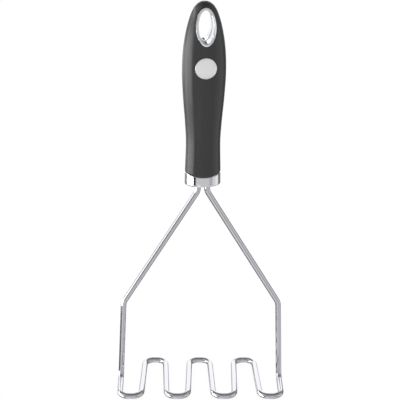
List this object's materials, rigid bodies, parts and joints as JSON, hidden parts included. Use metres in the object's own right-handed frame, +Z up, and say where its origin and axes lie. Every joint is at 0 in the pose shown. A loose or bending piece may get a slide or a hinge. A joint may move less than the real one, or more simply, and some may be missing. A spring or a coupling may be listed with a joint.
{
  "type": "potato masher",
  "caption": "Potato masher with a zigzag head bent from one steel rod, two arms meeting in a ferrule, and a soft oval grip with a lined hanging hole.",
  "frame": {"origin": "centre of the whole box's footprint, on the plane that the underside of the wire head rests on", "axes": "+Z up along the handle, X along the width of the wire head, front of the masher towards -Y"},
  "size_m": [0.1188, 0.0534, 0.2749],
  "materials": {
    "wire_steel": "polished stainless steel rod",
    "plate_steel": "mill finish",
    "core_plastic": "moulded polypropylene",
    "grip_rubber": "soft-touch matte",
    "ferrule_steel": "polished drawn steel",
    "liner_plating": "bright plating on moulded plastic",
    "badge_metal": "satin",
    "pad_adhesive": "adhesive film"
  },
  "bodies": {
    "root": {"masher_wire": "wire_steel", "tang_plate": "plate_steel", "handle_core": "core_plastic", "soft_grip": "grip_rubber", "ferrule": "ferrule_steel", "hole_liner_front": "liner_plating", "hole_liner_back": "liner_plating", "badge": "badge_metal", "badge_pad": "pad_adhesive"}
  },
  "joints": []
}
